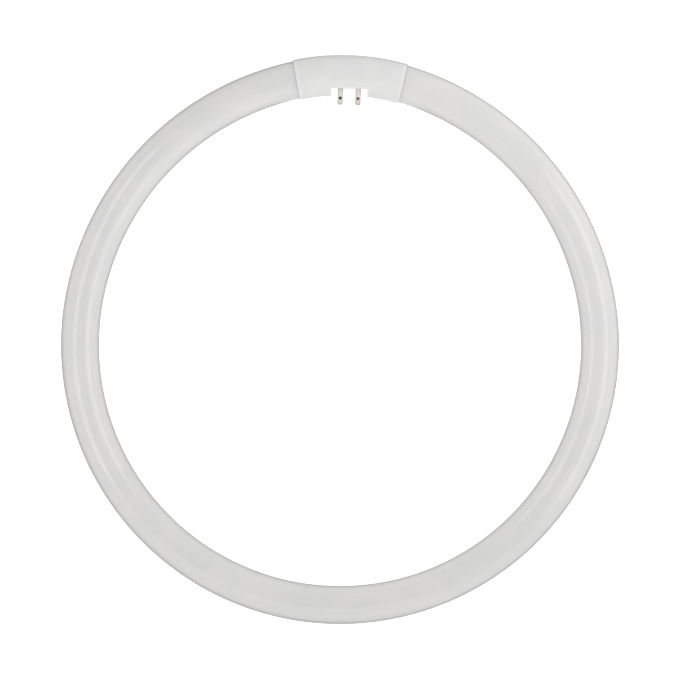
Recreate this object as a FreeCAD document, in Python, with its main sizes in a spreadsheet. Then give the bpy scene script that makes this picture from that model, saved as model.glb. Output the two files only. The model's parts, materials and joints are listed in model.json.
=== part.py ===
# Circular fluorescent tube: a bent ring of glass whose two ends meet in a moulded cap with four pins.
# Millimetres and degrees. The ring lies flat with its middle plane at z = 0 and the cap at +Y, and the
# origin is the middle of the ring's outline.
import FreeCAD, Part
import enum
import math
import os
import re
import Sketcher

# Driving sizes: name, value, what it is
DRIVING = [
    ("ring_radius", 115.7, "centreline radius of the round part of the ring"),
    ("shoulder_radius", 121.9, "centreline radius of the flatter stretches beside the cap"),
    ("shoulder_angle", 80, "from the cap's middle to where the flatter stretch begins"),
    ("cap_joint_x", 24.0, "from the cap's middle to where the tube reaches the cap's own arc"),
    ("tube_diameter", 16.9, "outside of the glass"),
    ("tube_end_round", 2.2, "rounding of the glass at its closed ends"),
    ("nib_diameter", 4.4, "sealed exhaust nib on each tube end"),
    ("nib_length", 3.4, "how far the nib stands out of the tube end"),
    ("nib_taper", 1.2, "length of the nib's melted-off point"),
    ("nib_point", 1.4, "diameter of the nib's very end"),
    ("cap_wall", 0.5, "wall of the cap round its bore"),
    ("cap_half_angle", 11.7, "from the cap's middle to each end, seen from the ring's centre"),
    ("cap_end_round", 0.35, "rounding of the cap's two rims"),
    ("seam_groove", 0.15, "radius of the fine groove where the half shells meet"),
    ("seat_clearance", 0.1, "between the glass and the bore of the cap"),
    ("end_gap", 0.3, "between the tube end and the wall of the notch"),
    ("notch_width", 16.0, "notch in the inner side of the cap, along the ring"),
    ("notch_wall", 1.2, "wall round the notch, which also carries the pins"),
    ("pin_face_offset", 5.85, "from the tube's centreline in to the face that carries the pins"),
    ("pin_pitch", 7.92, "between pins, along the ring"),
    ("pin_row_pitch", 6.35, "between the front and the rear row of pins"),
    ("pin_diameter", 2.35, "outside of a pin's barrel"),
    ("pin_length", 7.35, "from the pin face to the pin's tip"),
    ("pin_tip_round", 0.85, "rounding of the tip"),
    ("pin_neck_diameter", 1.8, "where the pin passes through the notch wall"),
    ("neck_clearance", 0.05, "between that neck and its hole"),
    ("pin_head_diameter", 3.2, "riveted head behind the wall"),
    ("pin_head_height", 0.6, "thickness of that head"),
    ("crimp_distance", 4.45, "from the pin face to the crimp mark"),
    ("crimp_diameter", 1.3, "mouth of the crimp mark"),
    ("crimp_floor_diameter", 0.6, "floor of the crimp mark"),
    ("crimp_depth", 0.55, "depth of the crimp mark"),
    ("wire_diameter", 0.7, "lead wire"),
    ("wire_clearance", 0.05, "between the wire and its socket in the pin's head"),
    ("wire_seat", 1.1, "how deep the wire sits in the pin"),
    ("wire_bend", 2.0, "centreline radius of the wire's bend"),
    ("boss_pitch", 10.6, "between the two bosses that line up the half shells"),
    ("boss_offset", 4.9, "from the tube's centreline out to the bosses"),
    ("boss_diameter", 3.4, "outside of a boss"),
    ("peg_diameter", 1.8, "peg on each front boss"),
    ("peg_length", 2.0, "how far a peg reaches into the rear boss"),
    ("peg_root", 2.5, "how far a peg is rooted in the front boss"),
    ("peg_clearance", 0.1, "round the peg and beyond its end"),
]

# Sizes that follow from them
DERIVED = [
    ("tube_radius", "tube_diameter / 2"),
    ("bore_radius", "tube_radius + seat_clearance"),
    ("cap_radius", "bore_radius + cap_wall"),
    ("radius_step", "shoulder_radius - ring_radius"),
    ("joint_out", "(cap_joint_x + radius_step * sin(shoulder_angle)) / shoulder_radius"),
    ("cap_joint_angle", "asin(joint_out) / (1 deg)"),
    ("joint_rise", "shoulder_radius * cos(cap_joint_angle) - radius_step * cos(shoulder_angle)"),
    ("cap_arc_radius", "cap_joint_x / joint_out"),
    ("cap_arc_rise", "joint_rise - cap_arc_radius * cos(cap_joint_angle)"),
    ("ring_top", "cap_arc_rise + cap_arc_radius + cap_radius"),
    ("ring_centre_y", "(ring_radius + tube_radius - ring_top) / 2"),
    ("cap_arc_y", "ring_centre_y + cap_arc_rise"),
    ("cap_line_y", "cap_arc_y + cap_arc_radius"),
    ("pin_face_y", "cap_line_y - pin_face_offset"),
    ("wall_inside_y", "pin_face_y + notch_wall"),
    ("wire_foot_y", "wall_inside_y + pin_head_height - wire_seat"),
    ("notch_half", "notch_width / 2"),
    ("tray_half", "notch_half + notch_wall"),
    ("end_angle", "atan((tray_half + end_gap) / (cap_arc_radius - tube_radius)) / (1 deg)"),
    ("end_x", "cap_arc_radius * sin(end_angle)"),
    ("end_y", "cap_arc_y + cap_arc_radius * cos(end_angle)"),
    ("boss_y", "cap_line_y + boss_offset"),
]

TOLERANCE = 1e-4


class Spot(enum.IntEnum):
    # Points of a line or an arc, as Sketcher numbers them
    START = 1
    END = 2
    CENTRE = 3


class Axis(enum.IntEnum):
    # Axes of a sketch; the first one starts at the sketch's origin
    ACROSS = -1
    UP = -2


doc = FreeCAD.newDocument("circular_tube")
sheet = doc.addObject("Spreadsheet::Sheet", "sizes")


def fill_sheet():
    rows = [(name, str(number), note) for name, number, note in DRIVING]
    rows += [(name, "=" + formula, "follows from the sizes above") for name, formula in DERIVED]
    for row, (name, content, note) in enumerate(rows, start=1):
        sheet.set(f"A{row}", note)
        sheet.set(f"B{row}", content)
        sheet.setAlias(f"B{row}", name)
    doc.recompute()
    return {name for name, _, _ in rows}


NAMES = fill_sheet()


def linked(expression):
    # The same expression, with each size named as a cell of the sheet
    return re.sub(r"[a-z_]+", lambda word: "sizes." + word[0] if word[0] in NAMES else word[0], expression)


def value(expression):
    return float(sheet.evalExpression(linked(expression)))


def bind(item, **expressions):
    for name, expression in expressions.items():
        item.setExpression(name, linked(expression))


def place(item, x="0", y="0", z="0"):
    for axis, expression in zip("xyz", (x, y, z)):
        item.setExpression("Placement.Base." + axis, linked(expression))


def new_body(label):
    body = doc.addObject("PartDesign::Body", label)
    body.Label = label
    return body


def origin_plane(body, role):
    return next(item for item in body.Origin.OriginFeatures if item.Role == role)


def new_sketch(body, name, role):
    sketch = body.newObject("Sketcher::SketchObject", name)
    sketch.AttachmentSupport = [(origin_plane(body, role), "")]
    sketch.MapMode = "FlatFace"
    return sketch


def locate(sketch, item, point, x=None, y=None):
    # Hold a point of the sketch at the given expressions, or on an axis where one is zero
    for kind, axis, expression in (("DistanceX", Axis.UP, x), ("DistanceY", Axis.ACROSS, y)):
        if expression is None:
            continue
        if expression == "0":
            sketch.addConstraint(Sketcher.Constraint("PointOnObject", item, point, axis))
            continue
        rule = Sketcher.Constraint(kind, Axis.ACROSS, Spot.START, item, point, value(expression))
        index = sketch.addConstraint(rule)
        sketch.setExpression(f"Constraints[{index}]", linked(expression))


def hold_radius(sketch, item, expression):
    index = sketch.addConstraint(Sketcher.Constraint("Radius", item, value(expression)))
    sketch.setExpression(f"Constraints[{index}]", linked(expression))


def vector(x, y):
    return FreeCAD.Vector(value(x), value(y), 0)


def add_polygon(sketch, corners):
    count = len(corners)
    for index in range(count):
        ends = (corners[index], corners[(index + 1) % count])
        sketch.addGeometry(Part.LineSegment(*(vector(x, y) for x, y in ends)))
    for index, (x, y) in enumerate(corners):
        before = (index - 1) % count
        sketch.addConstraint(Sketcher.Constraint("Coincident", before, Spot.END, index, Spot.START))
        locate(sketch, index, Spot.START, x, y)


def add_axis(sketch, first, last):
    # A construction line to revolve about
    index = sketch.addGeometry(Part.LineSegment(vector(*first), vector(*last)), True)
    locate(sketch, index, Spot.START, *first)
    locate(sketch, index, Spot.END, *last)


def add_arc(sketch, centre, radius, first, last):
    circle = Part.Circle(vector(*centre), FreeCAD.Vector(0, 0, 1), value(radius))
    angles = (math.radians(value(first)), math.radians(value(last)))
    return sketch.addGeometry(Part.ArcOfCircle(circle, *angles))


def join_smoothly(sketch, item, point, next_item, next_point):
    sketch.addConstraint(Sketcher.Constraint("Tangent", item, point, next_item, next_point))


def add_circle(sketch, radius, x, y):
    index = sketch.addGeometry(Part.Circle(vector(x, y), FreeCAD.Vector(0, 0, 1), value(radius)))
    locate(sketch, index, Spot.CENTRE, x, y)
    hold_radius(sketch, index, radius)


def revolve(body, kind, sketch, axis):
    feature = body.newObject("PartDesign::" + kind, kind)
    feature.Profile = sketch
    feature.ReferenceAxis = (sketch, [axis])
    feature.Angle = 360
    doc.recompute()
    return feature


def sweep(body, profile, path):
    feature = body.newObject("PartDesign::AdditivePipe", "Sweep")
    feature.Profile = profile
    feature.Spine = (path, [f"Edge{index + 1}" for index in range(path.GeometryCount)])
    doc.recompute()
    return feature


def edge_names(feature, test):
    # Names of the edges whose start, middle and end all pass the test
    names = []
    for index, edge in enumerate(feature.Shape.Edges, start=1):
        first, last = edge.ParameterRange
        points = [edge.valueAt(first + (last - first) * share) for share in (0, 0.5, 1)]
        if all(test(point) for point in points):
            names.append(f"Edge{index}")
    return names


def round_edges(body, base, test, radius):
    feature = body.newObject("PartDesign::Fillet", "Round")
    feature.Base = (base, edge_names(base, test))
    bind(feature, Radius=radius)
    doc.recompute()
    return feature


def near(first, second):
    return abs(first - second) < TOLERANCE


def off_cap_line(point):
    # Distance of a point from the arc that runs down the middle of the cap
    reach = math.hypot(point.x, point.y - value("cap_arc_y")) - value("cap_arc_radius")
    return math.hypot(reach, point.z)


def from_tube_end(along, out):
    # A point in the ring's plane, measured from the right tube end along its axis and outwards
    x = f"end_x - ({along}) * cos(end_angle) + ({out}) * sin(end_angle)"
    y = f"end_y + ({along}) * sin(end_angle) + ({out}) * cos(end_angle)"
    return x, y


def on_tube_rim(point):
    end = FreeCAD.Vector(value("end_x"), value("end_y"), 0)
    angle = math.radians(value("end_angle"))
    axis = FreeCAD.Vector(-math.cos(angle), math.sin(angle), 0)
    offset = point - end
    return near(offset.dot(axis), 0) and near(offset.Length, value("tube_radius"))


def make_glass_tube():
    # Half the ring, swept from the bottom round to the tube end inside the cap, then mirrored
    body = new_body("glass_tube")
    path = new_sketch(body, "RingLine", "XY_Plane")
    step = ("-radius_step * sin(shoulder_angle)", "ring_centre_y - radius_step * cos(shoulder_angle)")
    add_arc(path, ("0", "ring_centre_y"), "ring_radius", "-90", "90 - shoulder_angle")
    add_arc(path, step, "shoulder_radius", "90 - shoulder_angle", "90 - cap_joint_angle")
    add_arc(path, ("0", "cap_arc_y"), "cap_arc_radius", "90 - cap_joint_angle", "90 - end_angle")
    locate(path, 0, Spot.CENTRE, "0", "ring_centre_y")
    locate(path, 0, Spot.START, "0")
    locate(path, 0, Spot.END, y="ring_centre_y + ring_radius * cos(shoulder_angle)")
    hold_radius(path, 0, "ring_radius")
    join_smoothly(path, 0, Spot.END, 1, Spot.START)
    hold_radius(path, 1, "shoulder_radius")
    locate(path, 1, Spot.END, "cap_joint_x")
    join_smoothly(path, 1, Spot.END, 2, Spot.START)
    locate(path, 2, Spot.CENTRE, "0")
    locate(path, 2, Spot.END, "end_x")

    section = new_sketch(body, "GlassSection", "YZ_Plane")
    add_circle(section, "tube_radius", "ring_centre_y - ring_radius", "0")
    doc.recompute()
    glass = sweep(body, section, path)
    round_edges(body, glass, on_tube_rim, "tube_end_round")

    # The nib where the tube was pumped out and melted off
    nib = new_sketch(body, "NibSection", "XY_Plane")
    foot = from_tube_end("-tube_end_round", "0")
    point = from_tube_end("nib_length", "0")
    outline = [
        foot,
        from_tube_end("-tube_end_round", "nib_diameter / 2"),
        from_tube_end("nib_length - nib_taper", "nib_diameter / 2"),
        from_tube_end("nib_length", "nib_point / 2"),
        point,
    ]
    add_polygon(nib, outline)
    add_axis(nib, foot, point)
    doc.recompute()
    revolve(body, "Revolution", nib, "Axis0")

    mirror = body.newObject("PartDesign::Mirrored", "OtherHalf")
    mirror.TransformMode = "Whole shape"
    mirror.MirrorPlane = (origin_plane(body, "YZ_Plane"), [""])
    body.Tip = mirror
    doc.recompute()
    return body


def new_torus(name, radius, half_angle, arc_radius="cap_arc_radius"):
    # A stretch of round bar along the cap's arc, centred on +Y
    torus = doc.addObject("Part::Torus", name)
    torus.Placement.Rotation = FreeCAD.Rotation(FreeCAD.Vector(0, 0, 1), 0)
    bind(torus, Radius1=arc_radius, Radius2=radius, Angle3=f"2 * ({half_angle})")
    torus.setExpression("Placement.Rotation.Angle", linked(f"90 - ({half_angle})"))
    place(torus, y="cap_arc_y")
    return torus


def new_box(name, size, corner):
    box = doc.addObject("Part::Box", name)
    bind(box, Length=size[0], Width=size[1], Height=size[2])
    place(box, *corner)
    return box


def new_rod(name, diameter, length, base):
    # A round rod along +Z
    rod = doc.addObject("Part::Cylinder", name)
    bind(rod, Radius=f"({diameter}) / 2", Height=length)
    place(rod, *base)
    return rod


def combine(kind, name, base, tool):
    result = doc.addObject("Part::" + kind, name)
    result.Base = base
    result.Tool = tool
    return result


def fuse_all(name, items):
    result = doc.addObject("Part::MultiFuse", name)
    result.Shapes = items
    return result


def half_boss_pitch(side):
    return f"{side} * boss_pitch / 2"


def on_cap_rim(point):
    angle = math.degrees(math.atan2(abs(point.x), point.y))
    return near(angle, value("cap_half_angle")) and near(off_cap_line(point), value("cap_radius"))


def make_cap_form():
    # The outside of the cap: round bar along its arc, with both ends cut towards the ring's centre
    bar = new_torus("CapBar", "cap_radius", "2 * cap_joint_angle")
    over = "2 * cap_radius"
    sector = new_rod("CapSector", "4 * cap_line_y", "2 * " + over, ("0", "0", "-" + over))
    sector.Placement.Rotation = FreeCAD.Rotation(FreeCAD.Vector(0, 0, 1), 0)
    bind(sector, Angle="2 * cap_half_angle")
    sector.setExpression("Placement.Rotation.Angle", linked("90 - cap_half_angle"))
    form = new_body("CapForm")
    form.BaseFeature = combine("Common", "CapBlank", bar, sector)
    doc.recompute()
    round_edges(form, form.Tip, on_cap_rim, "cap_end_round")
    return form


def make_cap_shell():
    # The whole cap before it is split: notched, hollow but for the notch's walls and the bosses
    over = "2 * cap_radius"
    deep = "2 * " + over
    notch_corner = ("-notch_half", "pin_face_y - " + over, "-" + over)
    notch = new_box("Notch", ("notch_width", over, deep), notch_corner)
    outer_seam = new_torus("OuterSeam", "seam_groove", "2 * cap_joint_angle", "cap_arc_radius + cap_radius")
    inner_seam = new_torus("InnerSeam", "seam_groove", "2 * cap_joint_angle", "cap_arc_radius - cap_radius")
    removed = fuse_all("CutFromOutside", [notch, outer_seam, inner_seam])

    tray_corner = ("-tray_half", "wall_inside_y - " + over, "-" + over)
    kept = [new_box("Tray", ("2 * tray_half", over, deep), tray_corner)]
    for side in (-1, 1):
        base = (half_boss_pitch(side), "boss_y", "-" + over)
        kept.append(new_rod("Boss", "boss_diameter", deep, base))
    bore = new_torus("CapBore", "bore_radius", "3 * cap_joint_angle")
    hollow = combine("Cut", "CapHollow", bore, fuse_all("KeptInside", kept))
    notched = combine("Cut", "CapNotched", make_cap_form(), removed)
    return combine("Cut", "CapShell", notched, hollow)


def pin_holes(row):
    # The two holes through the notch wall on one side of the seam
    holes = []
    for side in (-1, 1):
        base = (f"{side} * pin_pitch / 2", "pin_face_y - notch_wall", f"{row} * pin_row_pitch / 2")
        hole = new_rod("PinHole", "pin_neck_diameter + 2 * neck_clearance", "3 * notch_wall", base)
        hole.Placement.Rotation = FreeCAD.Rotation(FreeCAD.Vector(1, 0, 0), -90)
        holes.append(hole)
    return holes


def make_cap_halves():
    shell = make_cap_shell()
    front_corner = ("-cap_line_y", "0", "0")
    front_space = new_box("FrontSpace", ("2 * cap_line_y",) * 3, front_corner)

    pegs = []
    sockets = []
    for side in (-1, 1):
        x = half_boss_pitch(side)
        pegs.append(new_rod("Peg", "peg_diameter", "peg_length + peg_root", (x, "boss_y", "-peg_length")))
        depth = "peg_length + peg_clearance"
        bottom = (x, "boss_y", f"-({depth})")
        sockets.append(new_rod("Socket", "peg_diameter + 2 * peg_clearance", depth + " + peg_root", bottom))

    front = combine("Common", "FrontBlank", shell, front_space)
    front = combine("Cut", "FrontDrilled", front, fuse_all("FrontHoles", pin_holes(1)))
    rear = combine("Cut", "RearBlank", shell, front_space)
    rear_cuts = fuse_all("RearHoles", pin_holes(-1) + sockets)
    return [fuse_all("cap_front_shell", [front] + pegs), combine("Cut", "cap_rear_shell", rear, rear_cuts)]


def turn_over(body):
    # Half a turn about Y, which swaps left with right and front with rear
    body.Placement.Rotation = FreeCAD.Rotation(FreeCAD.Vector(0, 1, 0), 180)


def on_pin_tip(point):
    radius = math.hypot(point.x, point.z)
    return near(point.y, -value("pin_length")) and near(radius, value("pin_diameter / 2"))


def make_pin(label, side, row):
    # Turned along -Y: barrel and tip in front of the notch wall, neck through it, riveted head behind
    body = new_body(label)
    outline = new_sketch(body, "PinOutline", "XY_Plane")
    barrel = "pin_diameter / 2"
    neck = "pin_neck_diameter / 2"
    head = "pin_head_diameter / 2"
    socket = "wire_diameter / 2 + wire_clearance"
    head_end = "notch_wall + pin_head_height"
    socket_floor = head_end + " - wire_seat"
    corners = [
        ("0", "-pin_length"),
        (barrel, "-pin_length"),
        (barrel, "0"),
        (neck, "0"),
        (neck, "notch_wall"),
        (head, "notch_wall"),
        (head, head_end),
        (socket, head_end),
        (socket, socket_floor),
        ("0", socket_floor),
    ]
    add_polygon(outline, corners)
    doc.recompute()
    turned = revolve(body, "Revolution", outline, "V_Axis")
    round_edges(body, turned, on_pin_tip, "pin_tip_round")

    # The crimp mark faces out of the ring's plane
    crimp = new_sketch(body, "CrimpSection", "YZ_Plane")
    mouth = "crimp_diameter / 2 - crimp_distance"
    floor = "crimp_floor_diameter / 2 - crimp_distance"
    top = ("-crimp_distance", barrel + " + crimp_depth")
    bottom = ("-crimp_distance", barrel + " - crimp_depth")
    add_polygon(crimp, [top, (mouth, top[1]), (mouth, barrel), (floor, bottom[1]), bottom])
    add_axis(crimp, bottom, top)
    doc.recompute()
    revolve(body, "Groove", crimp, "Axis0")

    if row < 0:
        turn_over(body)
    place(body, f"{side} * pin_pitch / 2", "pin_face_y", f"{row} * pin_row_pitch / 2")
    return body


def make_wire(label, side, row):
    # Up out of the pin's head, round one bend and along to the flat of the tube end
    body = new_body(label)
    path = new_sketch(body, "WireLine", "XY_Plane")
    run_x = "(end_x - pin_pitch / 2)"
    run_y = "(end_y - wire_foot_y)"
    rise = f"{run_y} + {run_x} * tan(end_angle) - wire_bend * tan(45 + end_angle / 2)"
    bend_x = "wire_bend * (1 + sin(end_angle))"
    bend_y = f"{rise} + wire_bend * cos(end_angle)"
    path.addGeometry(Part.LineSegment(vector("0", "0"), vector("0", rise)))
    add_arc(path, ("wire_bend", rise), "wire_bend", "90 - end_angle", "180")
    path.addGeometry(Part.LineSegment(vector(bend_x, bend_y), vector(run_x, run_y)))
    locate(path, 0, Spot.START, "0", "0")
    locate(path, 0, Spot.END, "0", rise)
    join_smoothly(path, 0, Spot.END, 1, Spot.END)
    hold_radius(path, 1, "wire_bend")
    join_smoothly(path, 1, Spot.START, 2, Spot.START)
    locate(path, 2, Spot.END, run_x, run_y)

    section = new_sketch(body, "WireSection", "XZ_Plane")
    add_circle(section, "wire_diameter / 2", "0", "0")
    doc.recompute()
    sweep(body, section, path)
    if side < 0:
        turn_over(body)
    place(body, f"{side} * pin_pitch / 2", "wire_foot_y", f"{row} * pin_row_pitch / 2")
    return body


def make_contacts():
    contacts = []
    for row, row_name in ((1, "front"), (-1, "rear")):
        for side, side_name in ((-1, "left"), (1, "right")):
            contacts.append(make_pin(f"pin_{row_name}_{side_name}", side, row))
            contacts.append(make_wire(f"lead_wire_{row_name}_{side_name}", side, row))
    return contacts


def check_model(pieces):
    doc.recompute()
    for item in doc.Objects:
        if "Invalid" in item.State or "Error" in item.State:
            raise RuntimeError(f"{item.Label} failed: {item.State}")
    for piece in pieces:
        if piece.Shape.isNull() or not piece.Shape.isValid() or len(piece.Shape.Solids) != 1:
            raise RuntimeError(f"{piece.Label} is not one valid solid")


def write_pieces(pieces):
    os.makedirs("parts", exist_ok=True)
    for piece in pieces:
        piece.Shape.exportStep(f"parts/{piece.Label}.step")
        print(f"{piece.Label}: {piece.Shape.Volume:.1f} mm3")


all_pieces = [make_glass_tube()] + make_cap_halves() + make_contacts()
check_model(all_pieces)
write_pieces(all_pieces)
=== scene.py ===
import bpy
import json
import math
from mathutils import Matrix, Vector, noise


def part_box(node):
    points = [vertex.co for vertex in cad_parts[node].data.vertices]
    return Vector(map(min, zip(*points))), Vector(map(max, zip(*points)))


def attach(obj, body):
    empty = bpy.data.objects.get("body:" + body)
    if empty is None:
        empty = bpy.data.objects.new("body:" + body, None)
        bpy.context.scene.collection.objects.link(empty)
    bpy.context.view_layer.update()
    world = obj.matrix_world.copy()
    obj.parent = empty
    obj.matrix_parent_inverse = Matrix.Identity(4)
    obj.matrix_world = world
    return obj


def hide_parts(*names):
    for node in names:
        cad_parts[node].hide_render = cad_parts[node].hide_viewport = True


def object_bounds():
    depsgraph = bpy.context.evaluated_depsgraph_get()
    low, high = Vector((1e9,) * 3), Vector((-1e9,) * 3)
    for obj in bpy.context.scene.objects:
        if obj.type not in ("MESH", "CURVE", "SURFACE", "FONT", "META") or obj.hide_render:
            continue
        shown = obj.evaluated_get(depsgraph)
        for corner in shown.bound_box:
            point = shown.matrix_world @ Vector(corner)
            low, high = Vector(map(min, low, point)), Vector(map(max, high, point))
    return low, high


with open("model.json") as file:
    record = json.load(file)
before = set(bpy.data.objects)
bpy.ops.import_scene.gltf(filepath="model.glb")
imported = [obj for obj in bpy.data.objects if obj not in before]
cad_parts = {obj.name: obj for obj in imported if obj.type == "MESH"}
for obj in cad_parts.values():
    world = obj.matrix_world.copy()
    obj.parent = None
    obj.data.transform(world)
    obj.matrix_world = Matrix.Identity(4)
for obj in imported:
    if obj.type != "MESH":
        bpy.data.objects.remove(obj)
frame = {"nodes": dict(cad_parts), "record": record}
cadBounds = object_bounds()
cadNodes = frame["nodes"]
floorHeight = cadBounds[0].z
pinFaceY = frame["record"]["mounts"][0]["pos_m"][1]
print("frame loaded,", len(cadNodes), "nodes")


def setInput(tree, socket, value):
    if isinstance(value, bpy.types.NodeSocket):
        tree.links.new(value, socket)
    else:
        socket.default_value = value


def addNode(tree, kind, inputs=None, **settings):
    node = tree.nodes.new("ShaderNode" + kind)
    for name, value in settings.items():
        setattr(node, name, value)
    for name, value in (inputs or {}).items():
        setInput(tree, node.inputs[name], value)
    return node


def calc(tree, operation, first, second=0.0):
    return addNode(tree, "Math", {0: first, 1: second}, operation=operation).outputs[0]


def multiply(tree, first, *others):
    for other in others:
        first = calc(tree, "MULTIPLY", first, other)
    return first


def distance(tree, first, second):
    squares = [calc(tree, "POWER", side, 2.0) for side in (first, second)]
    return calc(tree, "SQRT", calc(tree, "ADD", *squares))


def ramp(tree, value, low, high, start=0.0, end=1.0):  # smooth step from start to end
    inputs = {"Value": value, "From Min": low, "From Max": high, "To Min": start, "To Max": end}
    return addNode(tree, "MapRange", inputs, interpolation_type="SMOOTHSTEP").outputs["Result"]


def mixColour(tree, factor, first, second):
    node = addNode(tree, "Mix", data_type="RGBA")
    # The node has its sockets for numbers, vectors and colours in one row
    for index, value in ((0, factor), (6, first), (7, second)):
        setInput(tree, node.inputs[index], value)
    return node.outputs[2]


def noiseAt(tree, place, size, detail):  # size is the width of one blotch in metres
    scale = calc(tree, "DIVIDE", 1.0, size)
    return addNode(tree, "TexNoise", {"Vector": place, "Scale": scale, "Detail": detail}).outputs["Fac"]


def objectPlace(tree):
    return addNode(tree, "TexCoord").outputs["Object"]


def splitAxes(tree, place):
    return addNode(tree, "SeparateXYZ", {0: place}).outputs


def grey(level, warmth=0.0):
    return (level * (1 + warmth), level, level * (1 - warmth), 1.0)


def newGroup(name, inputs, outputs):
    group = bpy.data.node_groups.new(name, "ShaderNodeTree")
    for label, kind, value in inputs:
        socket = group.interface.new_socket(label, in_out="INPUT", socket_type="NodeSocket" + kind)
        if value is not None:
            socket.default_value = value
    for label, kind in outputs:
        group.interface.new_socket(label, in_out="OUTPUT", socket_type="NodeSocket" + kind)
    return group, group.nodes.new("NodeGroupInput").outputs, group.nodes.new("NodeGroupOutput").inputs


def placeGroup(tree, group, **values):
    node = tree.nodes.new("ShaderNodeGroup")
    node.node_tree = group
    for name, value in values.items():
        setInput(tree, node.inputs[name], value)
    return node.outputs


# The effects that the finishes share
effects = {
    "grainDetail": 3.0,
    "cloudDetail": 4.0,
    "lineDetail": 2.0,
    "noiseSpan": (0.3, 0.7),    # where most of a noise lies
    "noiseMiddle": 0.5,
    "cloudSpan": (0.35, 0.65),
    "brokenSpan": (0.35, 0.6),  # where streaks, worn edges and painted edge highlights break off
    "shadeWarmth": 1 / 3,       # how much of its warmth a finish keeps in its darker clouds
    "speckLeast": 0.4,          # size of the smallest specks
    "speckSoft": 0.5,
    "edgeSpan": (0.995, 0.8),   # how well the rounded normal agrees with the plain one
    "edgeSamples": 6,
}


def makeFineGrain(values):
    # Blotches of two sizes, one as a height and one as a light and dark mask
    sockets = [("Place", "Vector", None), ("Size", "Float", 0.0004), ("Clouds", "Float", 0.012)]
    group, given, out = newGroup("fineGrain", sockets, [("Height", "Float"), ("Clouds", "Float")])
    group.links.new(noiseAt(group, given["Place"], given["Size"], values["grainDetail"]), out["Height"])
    group.links.new(noiseAt(group, given["Place"], given["Clouds"], values["cloudDetail"]), out["Clouds"])
    return group


def makeSpecks(values):
    # Sparse dust: small round spots in some of the cells
    sockets = [
        ("Place", "Vector", None),
        ("Spacing", "Float", 0.006),
        ("Share", "Float", 0.2),
        ("Spot", "Float", 0.035),
    ]
    group, given, out = newGroup("specks", sockets, [("Mask", "Float")])
    scale = calc(group, "DIVIDE", 1.0, given["Spacing"])
    cells = addNode(group, "TexVoronoi", {"Vector": given["Place"], "Scale": scale})
    chance = addNode(group, "SeparateColor", {0: cells.outputs["Color"]}).outputs[0]
    filled = calc(group, "LESS_THAN", chance, given["Share"])
    size = multiply(group, given["Spot"], calc(group, "ADD", values["speckLeast"], chance))
    near = calc(group, "SUBTRACT", 1.0, calc(group, "DIVIDE", cells.outputs["Distance"], size))
    spot = ramp(group, near, 0.0, values["speckSoft"])
    group.links.new(multiply(group, spot, filled), out["Mask"])
    return group


def makeEdgeWearAndHighlight(values):
    # Edges broken up by a noise, as a mask for wear where hands and tools touch and for painted highlights,
    # and the rounded normal there
    sockets = [("Place", "Vector", None), ("Width", "Float", 0.0003), ("Break", "Float", 0.003)]
    group, given, out = newGroup("edgeWearAndHighlight", sockets, [("Mask", "Float"), ("Normal", "Vector")])
    bevel = addNode(group, "Bevel", {"Radius": given["Width"]}, samples=values["edgeSamples"])
    rounded = bevel.outputs[0]
    plain = addNode(group, "NewGeometry").outputs["Normal"]
    facing = addNode(group, "VectorMath", {0: rounded, 1: plain}, operation="DOT_PRODUCT")
    edge = ramp(group, facing.outputs["Value"], *values["edgeSpan"])
    patches = noiseAt(group, given["Place"], given["Break"], values["cloudDetail"])
    group.links.new(multiply(group, edge, ramp(group, patches, *values["brokenSpan"])), out["Mask"])
    group.links.new(rounded, out["Normal"])
    return group


fineGrain = makeFineGrain(effects)
specks = makeSpecks(effects)
edgeWearAndHighlight = makeEdgeWearAndHighlight(effects)
print("shared effects made")


def newFinish(name):
    material = bpy.data.materials.new(name)
    material.use_nodes = True
    tree = material.node_tree
    return material, tree, tree.nodes["Principled BSDF"]


def setEven(shader, values):  # what is the same all over the surface
    shader.inputs["IOR"].default_value = values["ior"]
    shader.inputs["Subsurface Weight"].default_value = values["scatter"]
    shader.inputs["Subsurface Radius"].default_value = (1.0, 1.0, 1.0)
    shader.inputs["Subsurface Scale"].default_value = values["scatterReach"]
    shader.inputs["Coat Weight"].default_value = values["gloss"]
    shader.inputs["Coat Roughness"].default_value = values["glossRough"]


def addBump(tree, height, strength, depth, normal=None):
    inputs = {"Height": height, "Strength": strength, "Distance": depth}
    if normal is not None:
        inputs["Normal"] = normal
    return addNode(tree, "Bump", inputs).outputs[0]


def stretchedNoise(tree, place, stretch, size):
    lines = addNode(tree, "Mapping", {"Vector": place, "Scale": stretch}).outputs[0]
    return noiseAt(tree, lines, size, effects["lineDetail"])


def uneven(tree, height, low, high):
    return ramp(tree, height, *effects["noiseSpan"], low, high)


def cloudy(tree, clouds, dark, light):
    return mixColour(tree, ramp(tree, clouds, *effects["cloudSpan"]), dark, light)


def cloudyWhite(tree, clouds, white, shade, warmth):
    return cloudy(tree, clouds, grey(shade, warmth * effects["shadeWarmth"]), grey(white, warmth))


def dusted(tree, colour, place, values):
    settings = {"Place": place, "Spacing": values["dustSpacing"], "Spot": values["dustSpot"]}
    dust = placeGroup(tree, specks, **settings)["Mask"]
    share = multiply(tree, dust, values["dustStrength"])
    return mixColour(tree, share, colour, grey(values["dustGrey"], values["dustWarmth"])), dust


def dress(node, material):
    for slot in cadNodes[node].material_slots:
        slot.material = material


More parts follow.
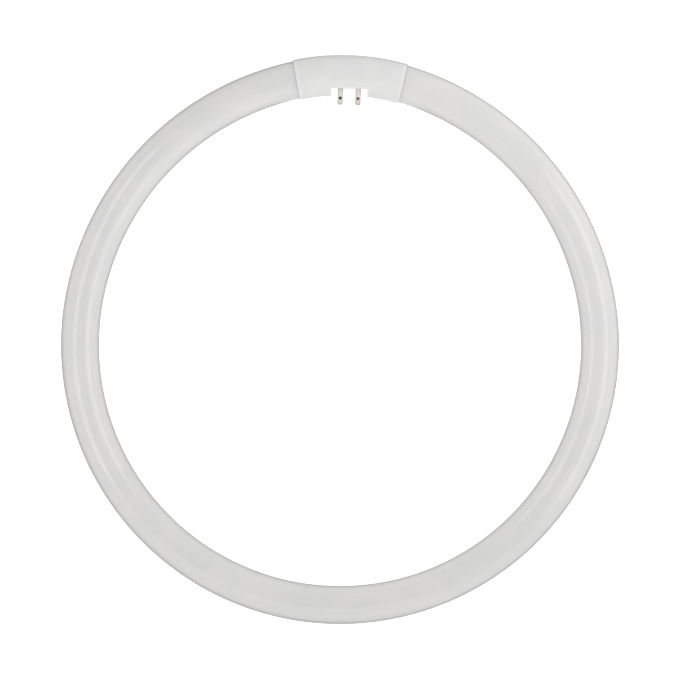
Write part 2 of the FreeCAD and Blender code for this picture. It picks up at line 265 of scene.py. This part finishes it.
# The glass tube is swept finely along the ring's own arcs, with rounded ends and nibs inside the cap
glassTube = {
    "ringRadius": 0.1157,       # centreline of the round part of the ring
    "shoulderRadius": 0.1219,   # centreline of the flatter stretches beside the cap
    "shoulderAngle": 80.0,      # degrees from the cap's middle to where they begin
    "jointX": 0.0240,           # where the tube reaches the cap's own arc
    "tubeRadius": 0.00845,
    "endGap": 0.0095,           # from the cap's middle to the tube end's inner edge
    "endRound": 0.0022,
    "nibRadius": 0.0022,
    "nibLength": 0.0034,
    "nibTaper": 0.0012,
    "nibPoint": 0.0007,
    "stepAlong": 0.0015,        # mesh spacing along the tube
    "stepsRound": 64,
    "stepsEnd": 8,
    "sharpAngle": 40.0,         # degrees
    "waver": 0.00002,           # how far the drawn glass strays from a true round
    "waverLength": 0.022,
    "coatWhite": 0.760,         # the white coat inside the glass
    "coatShade": 0.743,
    "coatWarmth": 0.010,
    "cloudSize": 0.014,
    "powderSize": 0.00022,
    "powderShade": 0.985,
    "drawnStretch": (0.03, 1.0, 1.0),   # fine lines along the tube, from the drawing of the glass
    "drawnSize": 0.0016,
    "drawnStrength": 0.25,
    "drawnDepth": 0.00002,
    "streakShade": 0.982,       # thin streaks, left where the coat ran down
    "dustSpacing": 0.007,
    "dustSpot": 0.03,
    "dustGrey": 0.62,
    "dustWarmth": 0.03,
    "dustStrength": 0.35,
    "dustRough": 0.3,
    "roughLow": 0.10,
    "roughHigh": 0.17,
    "ior": 1.5,
    "scatter": 0.7,             # light that enters the coat and comes out elsewhere
    "scatterReach": 0.005,
    "gloss": 0.8,
    "glossRough": 0.04,
}


def halfRing(values, ringCentreY):
    # Points and directions from the right tube end round to the bottom: three arcs that meet smoothly
    step = values["shoulderRadius"] - values["ringRadius"]
    shoulder = math.radians(values["shoulderAngle"])
    jointSine = (values["jointX"] + step * math.sin(shoulder)) / values["shoulderRadius"]
    joint = math.asin(jointSine)
    capRadius = values["jointX"] / jointSine
    jointRise = values["shoulderRadius"] * math.cos(joint) - step * math.cos(shoulder)
    capY = ringCentreY + jointRise - capRadius * math.cos(joint)
    end = math.atan(values["endGap"] / (capRadius - values["tubeRadius"]))
    shoulderCentre = (-step * math.sin(shoulder), ringCentreY - step * math.cos(shoulder))
    arcs = [
        ((0.0, capY), capRadius, end, joint),
        (shoulderCentre, values["shoulderRadius"], joint, shoulder),
        ((0.0, ringCentreY), values["ringRadius"], shoulder, math.pi),
    ]
    line = []
    for (x, y), radius, first, last in arcs:
        count = math.ceil((last - first) * radius / values["stepAlong"])
        for index in range(count):
            angle = first + (last - first) * index / count
            line.append((Vector((x + radius * math.sin(angle), y + radius * math.cos(angle), 0)), angle))
    return line


def ringLine(values, ringCentreY):
    right = halfRing(values, ringCentreY)
    bottom = (Vector((0, ringCentreY - values["ringRadius"], 0)), math.pi)
    left = [(Vector((-point.x, point.y, 0)), 2 * math.pi - angle) for point, angle in reversed(right)]
    return right + [bottom] + left


def endRings(values):
    # Distance beyond the tube end and radius there, from the start of the rounding out to the nib's point
    radius, fillet, steps = values["tubeRadius"], values["endRound"], values["stepsEnd"]
    rings = []
    for index in range(1, steps + 1):
        angle = math.pi / 2 * index / steps
        rings.append((fillet * (math.sin(angle) - 1), radius - fillet * (1 - math.cos(angle))))
    rings.append((0.0, values["nibRadius"]))
    rings.append((values["nibLength"] - values["nibTaper"], values["nibRadius"]))
    rings.append((values["nibLength"], values["nibPoint"]))
    return rings


def buildGlassTube(values):
    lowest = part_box("glass_tube")[0]
    ringCentreY = lowest.y + values["ringRadius"] + values["tubeRadius"]
    line = ringLine(values, ringCentreY)
    count = values["stepsRound"]
    points, faces = [], []

    def addRing(centre, angle, radius, waver=0.0):
        out = Vector((math.sin(angle), math.cos(angle), 0))
        for index in range(count):
            turn = 2 * math.pi * index / count
            way = out * math.cos(turn) + Vector((0, 0, math.sin(turn)))
            point = centre + way * radius
            points.append(point + way * waver * noise.noise(point / values["waverLength"]))
        last = len(points) - count
        if last == 0:
            return
        for index in range(count):
            after = (index + 1) % count
            faces.append((last - count + index, last - count + after, last + after, last + index))

    def addEnd(centre, angle, way, rings):
        along = Vector((math.cos(angle), -math.sin(angle), 0)) * way
        for beyond, radius in rings:
            addRing(centre + along * beyond, angle, radius)

    rings = endRings(values)
    (startPoint, startAngle), (endPoint, endAngle) = line[0], line[-1]
    addEnd(startPoint, startAngle, -1, reversed(rings))
    for centre, angle in line:
        if min((centre - startPoint).length, (centre - endPoint).length) > values["endRound"]:
            addRing(centre, angle, values["tubeRadius"], values["waver"])
    addEnd(endPoint, endAngle, 1, rings)
    faces.append(tuple(range(count)))
    faces.append(tuple(reversed(range(len(points) - count, len(points)))))
    mesh = bpy.data.meshes.new("glassTube")
    mesh.from_pydata(points, [], faces)
    mesh.validate()
    mesh.shade_smooth()
    mesh.set_sharp_from_angle(angle=math.radians(values["sharpAngle"]))
    tube = bpy.data.objects.new("glassTube", mesh)
    bpy.context.scene.collection.objects.link(tube)
    return tube, ringCentreY


def alongRing(tree, centreY, radius):
    # Coordinates that follow the ring: along it, out from its line, and up. Their join lies inside the cap.
    axes = splitAxes(tree, objectPlace(tree))
    down = calc(tree, "SUBTRACT", centreY, axes["Y"])
    along = multiply(tree, calc(tree, "ARCTAN2", axes["X"], down), radius)
    off = calc(tree, "SUBTRACT", distance(tree, axes["X"], down), radius)
    return addNode(tree, "CombineXYZ", {"X": along, "Y": off, "Z": axes["Z"]}).outputs[0]


def makeCoatedGlass(values, ringCentreY):
    material, tree, shader = newFinish("coatedGlass")
    place = alongRing(tree, ringCentreY, values["ringRadius"])
    grain = placeGroup(tree, fineGrain, Place=place, Size=values["powderSize"], Clouds=values["cloudSize"])
    whites = (values["coatWhite"], values["coatShade"], values["coatWarmth"])
    clouded = cloudyWhite(tree, grain["Clouds"], *whites)
    drawn = stretchedNoise(tree, place, values["drawnStretch"], values["drawnSize"])
    powder = uneven(tree, grain["Height"], values["powderShade"], 1.0)
    streaks = ramp(tree, drawn, *effects["brokenSpan"], values["streakShade"], 1.0)
    level = multiply(tree, powder, streaks)
    coat = addNode(tree, "VectorMath", {0: clouded, "Scale": level}, operation="SCALE").outputs[0]
    dusty, dust = dusted(tree, coat, place, values)
    setInput(tree, shader.inputs["Base Color"], dusty)
    haze = uneven(tree, drawn, values["roughLow"], values["roughHigh"])
    matt = multiply(tree, dust, values["dustRough"])
    setInput(tree, shader.inputs["Roughness"], calc(tree, "ADD", haze, matt))
    lines = addBump(tree, drawn, values["drawnStrength"], values["drawnDepth"])
    setInput(tree, shader.inputs["Normal"], lines)
    setEven(shader, values)
    return material


tube, ringCentreY = buildGlassTube(glassTube)
tube.data.materials.append(makeCoatedGlass(glassTube, ringCentreY))
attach(tube, "root")
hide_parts("glass_tube")
print("glass tube built,", len(tube.data.polygons), "faces")


# The cap's two moulded half shells
capShells = {
    "white": 0.828,
    "shade": 0.804,
    "warmth": 0.008,
    "cloudSize": 0.009,
    "sparkSize": 0.00028,       # moulded-in texture
    "sparkStrength": 0.35,
    "sparkDepth": 0.000018,
    "endAngle": 11.7,           # degrees from the cap's middle to its ends
    "lineRadius": 0.1176,       # from the origin to the tube's line in the cap
    "endHighlightWhite": 0.848,          # painted highlight round each end
    "endHighlightSpan": (0.0019, 0.0011),        # from the end, where the painted highlight begins
    # painted highlight along the cap's edges
    "edgeHighlightWhite": 0.90,
    "edgeWidth": 0.00025,
    "edgePolish": 0.12,         # how much smoother the edges are rubbed
    "dustSpacing": 0.005,
    "dustSpot": 0.035,
    "dustGrey": 0.55,
    "dustWarmth": 0.05,
    "dustStrength": 0.3,
    "roughLow": 0.34,
    "roughHigh": 0.46,
    "ior": 1.48,
    "scatter": 0.6,             # the thin walls let some light through
    "scatterReach": 0.001,
    "gloss": 0.7,
    "glossRough": 0.15,
}


def capEndHighlight(tree, place, values):
    # Painted highlight: a paler band round each end of the cap, where the rounded end catches the light
    axes = splitAxes(tree, place)
    turn = calc(tree, "ARCTAN2", calc(tree, "ABSOLUTE", axes["X"]), axes["Y"])
    beforeEnd = calc(tree, "SUBTRACT", math.radians(values["endAngle"]), turn)
    return ramp(tree, multiply(tree, beforeEnd, values["lineRadius"]), *values["endHighlightSpan"])


def makeCapPlastic(values):
    material, tree, shader = newFinish("capPlastic")
    place = objectPlace(tree)
    grain = placeGroup(tree, fineGrain, Place=place, Size=values["sparkSize"], Clouds=values["cloudSize"])
    edges = placeGroup(tree, edgeWearAndHighlight, Place=place, Width=values["edgeWidth"])
    clouded = cloudyWhite(tree, grain["Clouds"], values["white"], values["shade"], values["warmth"])
    # Painted highlight round the cap's ends
    endLit = mixColour(tree, capEndHighlight(tree, place, values), clouded, grey(values["endHighlightWhite"]))
    # Painted highlight: the cap's edges are drawn whiter
    edgeLit = mixColour(tree, edges["Mask"], endLit, grey(values["edgeHighlightWhite"]))
    dusty, _ = dusted(tree, edgeLit, place, values)
    setInput(tree, shader.inputs["Base Color"], dusty)
    satin = uneven(tree, grain["Height"], values["roughLow"], values["roughHigh"])
    polish = multiply(tree, edges["Mask"], values["edgePolish"])
    setInput(tree, shader.inputs["Roughness"], calc(tree, "SUBTRACT", satin, polish))
    spark = addBump(tree, grain["Height"], values["sparkStrength"], values["sparkDepth"], edges["Normal"])
    setInput(tree, shader.inputs["Normal"], spark)
    setEven(shader, values)
    return material


capPlastic = makeCapPlastic(capShells)
for row in ("front", "rear"):
    dress(f"cap_{row}_shell", capPlastic)
print("cap shells finished")


# Nickel-plated pins, worn to the brass at the tip, with painted shade towards the pin face and a dark brown
# painted shade in the crimp dimple on the outer side of each
contactPins = {
    "pitch": 0.00792,
    "rowPitch": 0.00635,
    "nickel": (0.86, 0.835, 0.77, 1.0),
    "nickelShade": (0.74, 0.715, 0.65, 1.0),
    "grainSize": 0.00035,
    "cloudSize": 0.0022,
    "crimpDistance": 0.00445,   # from the pin face to the crimp mark
    "crimpSpan": (0.0008125, 0.00052),  # from the mark's middle, where it begins
    "crimpUneven": 0.0005,
    "crimpSide": (0.0, 0.0003),         # from the pin's axis outwards
    # Painted shade in the crimp dimples: dark brown on the left pins, red-brown on the right
    "crimpShadeLeft": (0.085, 0.066, 0.034, 1.0),   # left pins
    "crimpShadeRight": (0.22, 0.13, 0.087, 1.0),      # right pins
    "crimpMatt": 0.7,           # how much less metallic the mark is
    "crimpRough": 0.3,
    "edgeWidth": 0.00012,
    "edgeBreak": 0.0006,
    "brass": (0.56, 0.50, 0.36, 1.0),
    "wornSpan": (0.0022, 0.0002),       # from the tip, where the wear begins
    "wornPatches": (0.4, 0.65),
    "wornLeast": 0.5,           # wear between the patches
    "wornStrength": 0.75,
    # Painted shade: the pins darken towards the pin face, where the cap's notch shades them
    "pinBaseShade": (0.58, 0.575, 0.56, 1.0),
    "pinBaseShadeSpan": (0.0034, 0.0010),    # from the pin face, where the painted shade begins
    "pinBaseShadeStrength": 0.27,
    "turnedStretch": (0.05, 1.0, 0.05),         # fine rings, from turning
    "turnedSize": 0.00007,
    "turnedStrength": 0.3,
    "turnedDepth": 0.000006,
    "roughLow": 0.42,
    "roughHigh": 0.58,
}


def crimpMark(tree, axes, grain, values):
    fromAxis = calc(tree, "SUBTRACT", calc(tree, "ABSOLUTE", axes["X"]), values["pitch"] / 2)
    fromMark = calc(tree, "SUBTRACT", axes["Y"], pinFaceY - values["crimpDistance"])
    outward = calc(tree, "SUBTRACT", calc(tree, "ABSOLUTE", axes["Z"]), values["rowPitch"] / 2)
    stray = calc(tree, "SUBTRACT", grain["Height"], effects["noiseMiddle"])
    ragged = multiply(tree, stray, values["crimpUneven"])
    reach = calc(tree, "ADD", distance(tree, fromAxis, fromMark), ragged)
    outerSide = ramp(tree, outward, *values["crimpSide"])
    return multiply(tree, ramp(tree, reach, *values["crimpSpan"]), outerSide)


def wornAndShadedPlating(tree, axes, grain, edges, values):
    plated = cloudy(tree, grain["Clouds"], values["nickelShade"], values["nickel"])
    # Painted shade, darker towards the pin face
    fromFace = calc(tree, "SUBTRACT", pinFaceY, axes["Y"])
    dull = multiply(tree, ramp(tree, fromFace, *values["pinBaseShadeSpan"]), values["pinBaseShadeStrength"])
    baseShaded = mixColour(tree, dull, plated, values["pinBaseShade"])
    fromTip = calc(tree, "SUBTRACT", axes["Y"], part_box("pin_front_left")[0].y)
    patches = ramp(tree, grain["Clouds"], *values["wornPatches"], values["wornLeast"], 1.0)
    rubbedTip = multiply(tree, ramp(tree, fromTip, *values["wornSpan"]), patches)
    worn = multiply(tree, calc(tree, "MAXIMUM", edges["Mask"], rubbedTip), values["wornStrength"])
    return mixColour(tree, worn, baseShaded, values["brass"])


def makePinMetal(values):
    material, tree, shader = newFinish("pinMetal")
    place = objectPlace(tree)
    axes = splitAxes(tree, place)
    grain = placeGroup(tree, fineGrain, Place=place, Size=values["grainSize"], Clouds=values["cloudSize"])
    edges = placeGroup(tree, edgeWearAndHighlight, Place=place, Width=values["edgeWidth"], Break=values["edgeBreak"])
    crimp = crimpMark(tree, axes, grain, values)
    # Painted shade in the crimp dimple
    onRight = calc(tree, "GREATER_THAN", axes["X"], 0.0)
    crimpShadeColour = mixColour(tree, onRight, values["crimpShadeLeft"], values["crimpShadeRight"])
    plating = wornAndShadedPlating(tree, axes, grain, edges, values)
    setInput(tree, shader.inputs["Base Color"], mixColour(tree, crimp, plating, crimpShadeColour))
    bare = calc(tree, "SUBTRACT", 1.0, multiply(tree, crimp, values["crimpMatt"]))
    setInput(tree, shader.inputs["Metallic"], bare)
    turned = stretchedNoise(tree, place, values["turnedStretch"], values["turnedSize"])
    satin = uneven(tree, turned, values["roughLow"], values["roughHigh"])
    matt = multiply(tree, crimp, values["crimpRough"])
    setInput(tree, shader.inputs["Roughness"], calc(tree, "ADD", satin, matt))
    rings = addBump(tree, turned, values["turnedStrength"], values["turnedDepth"], edges["Normal"])
    setInput(tree, shader.inputs["Normal"], rings)
    return material


# Plain plated wire, inside the cap
leadWires = {
    "bright": (0.62, 0.60, 0.56, 1.0),
    "dull": (0.40, 0.36, 0.30, 1.0),
    "grainSize": 0.0002,
    "grainStrength": 0.3,
    "grainDepth": 0.00001,
    "cloudSize": 0.002,
    "roughLow": 0.28,
    "roughHigh": 0.50,
}


def makeLeadMetal(values):
    material, tree, shader = newFinish("leadMetal")
    place = objectPlace(tree)
    grain = placeGroup(tree, fineGrain, Place=place, Size=values["grainSize"], Clouds=values["cloudSize"])
    worn = cloudy(tree, grain["Clouds"], values["dull"], values["bright"])
    setInput(tree, shader.inputs["Base Color"], worn)
    satin = uneven(tree, grain["Height"], values["roughLow"], values["roughHigh"])
    setInput(tree, shader.inputs["Roughness"], satin)
    shader.inputs["Metallic"].default_value = 1.0
    drawn = addBump(tree, grain["Height"], values["grainStrength"], values["grainDepth"])
    setInput(tree, shader.inputs["Normal"], drawn)
    return material


pinMetal, leadMetal = makePinMetal(contactPins), makeLeadMetal(leadWires)
for row in ("front", "rear"):
    for side in ("left", "right"):
        dress(f"pin_{row}_{side}", pinMetal)
        dress(f"lead_wire_{row}_{side}", leadMetal)
print("pins and lead wires finished")


# A white table that glows softly, in a bright and even room
studio = {
    "floorHalf": 4.0,
    "floorWhite": 0.85,
    "floorRough": 0.9,
    "floorGlow": 0.60,          # keeps the ground white where the ring shades it
    "floorLift": 0.30,          # its glow on the ring
    "dimLift": 0.0,             # the same outside the ring, apart from its right and its upper left
    "outsideSpan": (0.112, 0.120),      # from the ring's centre
    "rightSpan": (0.045, 0.005),
    "leftSpan": (-0.10, -0.075),
    "upperSpan": (0.03, -0.01),
    "mirrorLight": 0.70,        # how bright it shows in the glass, far off and close to the ring
    "mirrorShade": 0.15,
    "closeSpan": (0.050, 0.018),        # from the ring's line
    "pinsSpan": (0.022, 0.034),         # from the pins, where it is bright again
    "pinsPlace": 0.008,         # from the pin face to the middle of that bright place
    "skyLight": 0.82,
    "skyLean": (0.05, -0.15, 0.0),      # how much brighter the room is towards each side
    "overhead": 0.22,           # how much darker it is where the camera stands
    "overheadEdge": 0.8,
}


def floorMirror(tree, axes, fromCentre, values):
    # Dark close to the ring, which draws thin rims on the glass
    fromRing = calc(tree, "ABSOLUTE", calc(tree, "SUBTRACT", fromCentre, glassTube["ringRadius"]))
    fromPlace = calc(tree, "SUBTRACT", axes["Y"], pinFaceY - values["pinsPlace"])
    fromPins = distance(tree, axes["X"], fromPlace)
    close = ramp(tree, fromRing, *values["closeSpan"])
    shade = multiply(tree, close, ramp(tree, fromPins, *values["pinsSpan"]))
    return ramp(tree, shade, 0.0, 1.0, values["mirrorLight"], values["mirrorShade"])


def floorBounce(tree, axes, fromCentre, values):
    offRight = ramp(tree, axes["X"], *values["rightSpan"])
    offLeft = ramp(tree, axes["X"], *values["leftSpan"])
    offUpper = ramp(tree, axes["Y"], *values["upperSpan"])
    outside = ramp(tree, fromCentre, *values["outsideSpan"])
    dim = multiply(tree, outside, offRight, calc(tree, "MAXIMUM", offLeft, offUpper))
    return ramp(tree, dim, 0.0, 1.0, values["floorLift"], values["dimLift"])


def makePaleFloor(values):
    material, tree, shader = newFinish("paleFloor")
    shader.inputs["Base Color"].default_value = grey(values["floorWhite"])
    shader.inputs["Roughness"].default_value = values["floorRough"]
    shader.inputs["Specular IOR Level"].default_value = 0.0
    axes = splitAxes(tree, objectPlace(tree))
    fromCentre = distance(tree, axes["X"], calc(tree, "SUBTRACT", axes["Y"], ringCentreY))
    bounce = floorBounce(tree, axes, fromCentre, values)
    shown = floorMirror(tree, axes, fromCentre, values)
    glow, lift, mirror = [
        addNode(tree, "Emission", {"Color": grey(1.0), "Strength": strength}).outputs[0]
        for strength in (values["floorGlow"], bounce, shown)
    ]
    path = addNode(tree, "LightPath").outputs
    lit = addNode(tree, "MixShader", {0: path["Is Camera Ray"], 1: lift, 2: glow}).outputs[0]
    both = addNode(tree, "AddShader", {0: shader.outputs[0], 1: lit}).outputs[0]
    table = addNode(tree, "MixShader", {0: path["Is Glossy Ray"], 1: both, 2: mirror}).outputs[0]
    tree.links.new(table, tree.nodes["Material Output"].inputs["Surface"])
    return material


def addFloor(values):
    half = values["floorHalf"]
    corners = [(-half, -half), (half, -half), (half, half), (-half, half)]
    mesh = bpy.data.meshes.new("floor")
    mesh.from_pydata([(x, y, floorHeight) for x, y in corners], [], [(0, 1, 2, 3)])
    mesh.materials.append(makePaleFloor(values))
    floor = bpy.data.objects.new("floor", mesh)
    bpy.context.scene.collection.objects.link(floor)


def makeRoom(values):
    world = bpy.data.worlds.new("softRoom")
    world.use_nodes = True
    tree = world.node_tree
    room = tree.nodes["Background"]
    way = addNode(tree, "TexCoord").outputs["Generated"]
    lean = addNode(tree, "VectorMath", {0: way, 1: values["skyLean"]}, operation="DOT_PRODUCT")
    lowest = values["skyLight"] - values["overhead"]
    height = splitAxes(tree, way)["Z"]
    light = ramp(tree, height, values["overheadEdge"], 1.0, values["skyLight"], lowest)
    room.inputs["Color"].default_value = grey(1.0)
    setInput(tree, room.inputs["Strength"], calc(tree, "ADD", lean.outputs["Value"], light))
    white = addNode(tree, "Background", {"Color": grey(1.0), "Strength": 1.0})
    seen = addNode(tree, "LightPath").outputs["Is Camera Ray"]
    both = addNode(tree, "MixShader", {0: seen, 1: room.outputs[0], 2: white.outputs[0]})
    tree.links.new(both.outputs[0], tree.nodes["World Output"].inputs["Surface"])
    bpy.context.scene.world = world


# Place, width, length and watts, and whether it draws a line on the glass or lights the ring
softBoxes = {
    "leftLine": ((-0.34, 0.03, 0.38), 0.18, 0.54, 0.30, True),
    "rightLine": ((1.0, 0.0, 1.05), 0.66, 1.4, 2.6, True),
    "leftFill": ((-0.36, -0.05, 0.38), 0.4, 0.4, 0.28, False),
    "rightFill": ((0.21, 0.19, 0.24), 0.3, 0.3, 0.25, False),
}


def addSoftBox(name, place, width, length, watts, mirrored):
    light = bpy.data.lights.new(name, "AREA")
    light.shape = "RECTANGLE"
    light.size, light.size_y = length, width
    light.energy = watts
    box = bpy.data.objects.new(name, light)
    box.location = place
    box.rotation_euler = Vector(place).to_track_quat("Z", "Y").to_euler()
    box.visible_camera = False
    box.visible_glossy = mirrored
    box.visible_diffuse = not mirrored
    bpy.context.scene.collection.objects.link(box)


# Straight above the ring, far off with a long lens
photoCamera = {
    "height": 8.0,
    "frameWidth": 0.3026,       # width of the picture at the ring's middle plane
    "aim": (-0.0001, -0.00027),
    "roll": 2.1,                # degrees
    "sensor": 36.0,
}


def addCamera(values):
    data = bpy.data.cameras.new("photoCamera")
    data.sensor_width = values["sensor"]
    data.lens = values["sensor"] * values["height"] / values["frameWidth"]
    camera = bpy.data.objects.new("photoCamera", data)
    camera.location = (*values["aim"], values["height"])
    camera.rotation_euler = (0, 0, math.radians(values["roll"]))
    bpy.context.scene.collection.objects.link(camera)
    bpy.context.scene.camera = camera


addFloor(studio)
makeRoom(studio)
for name, values in softBoxes.items():
    addSoftBox(name, *values)
addCamera(photoCamera)
bpy.context.scene.view_settings.view_transform = "Standard"
print("floor, light and camera set")
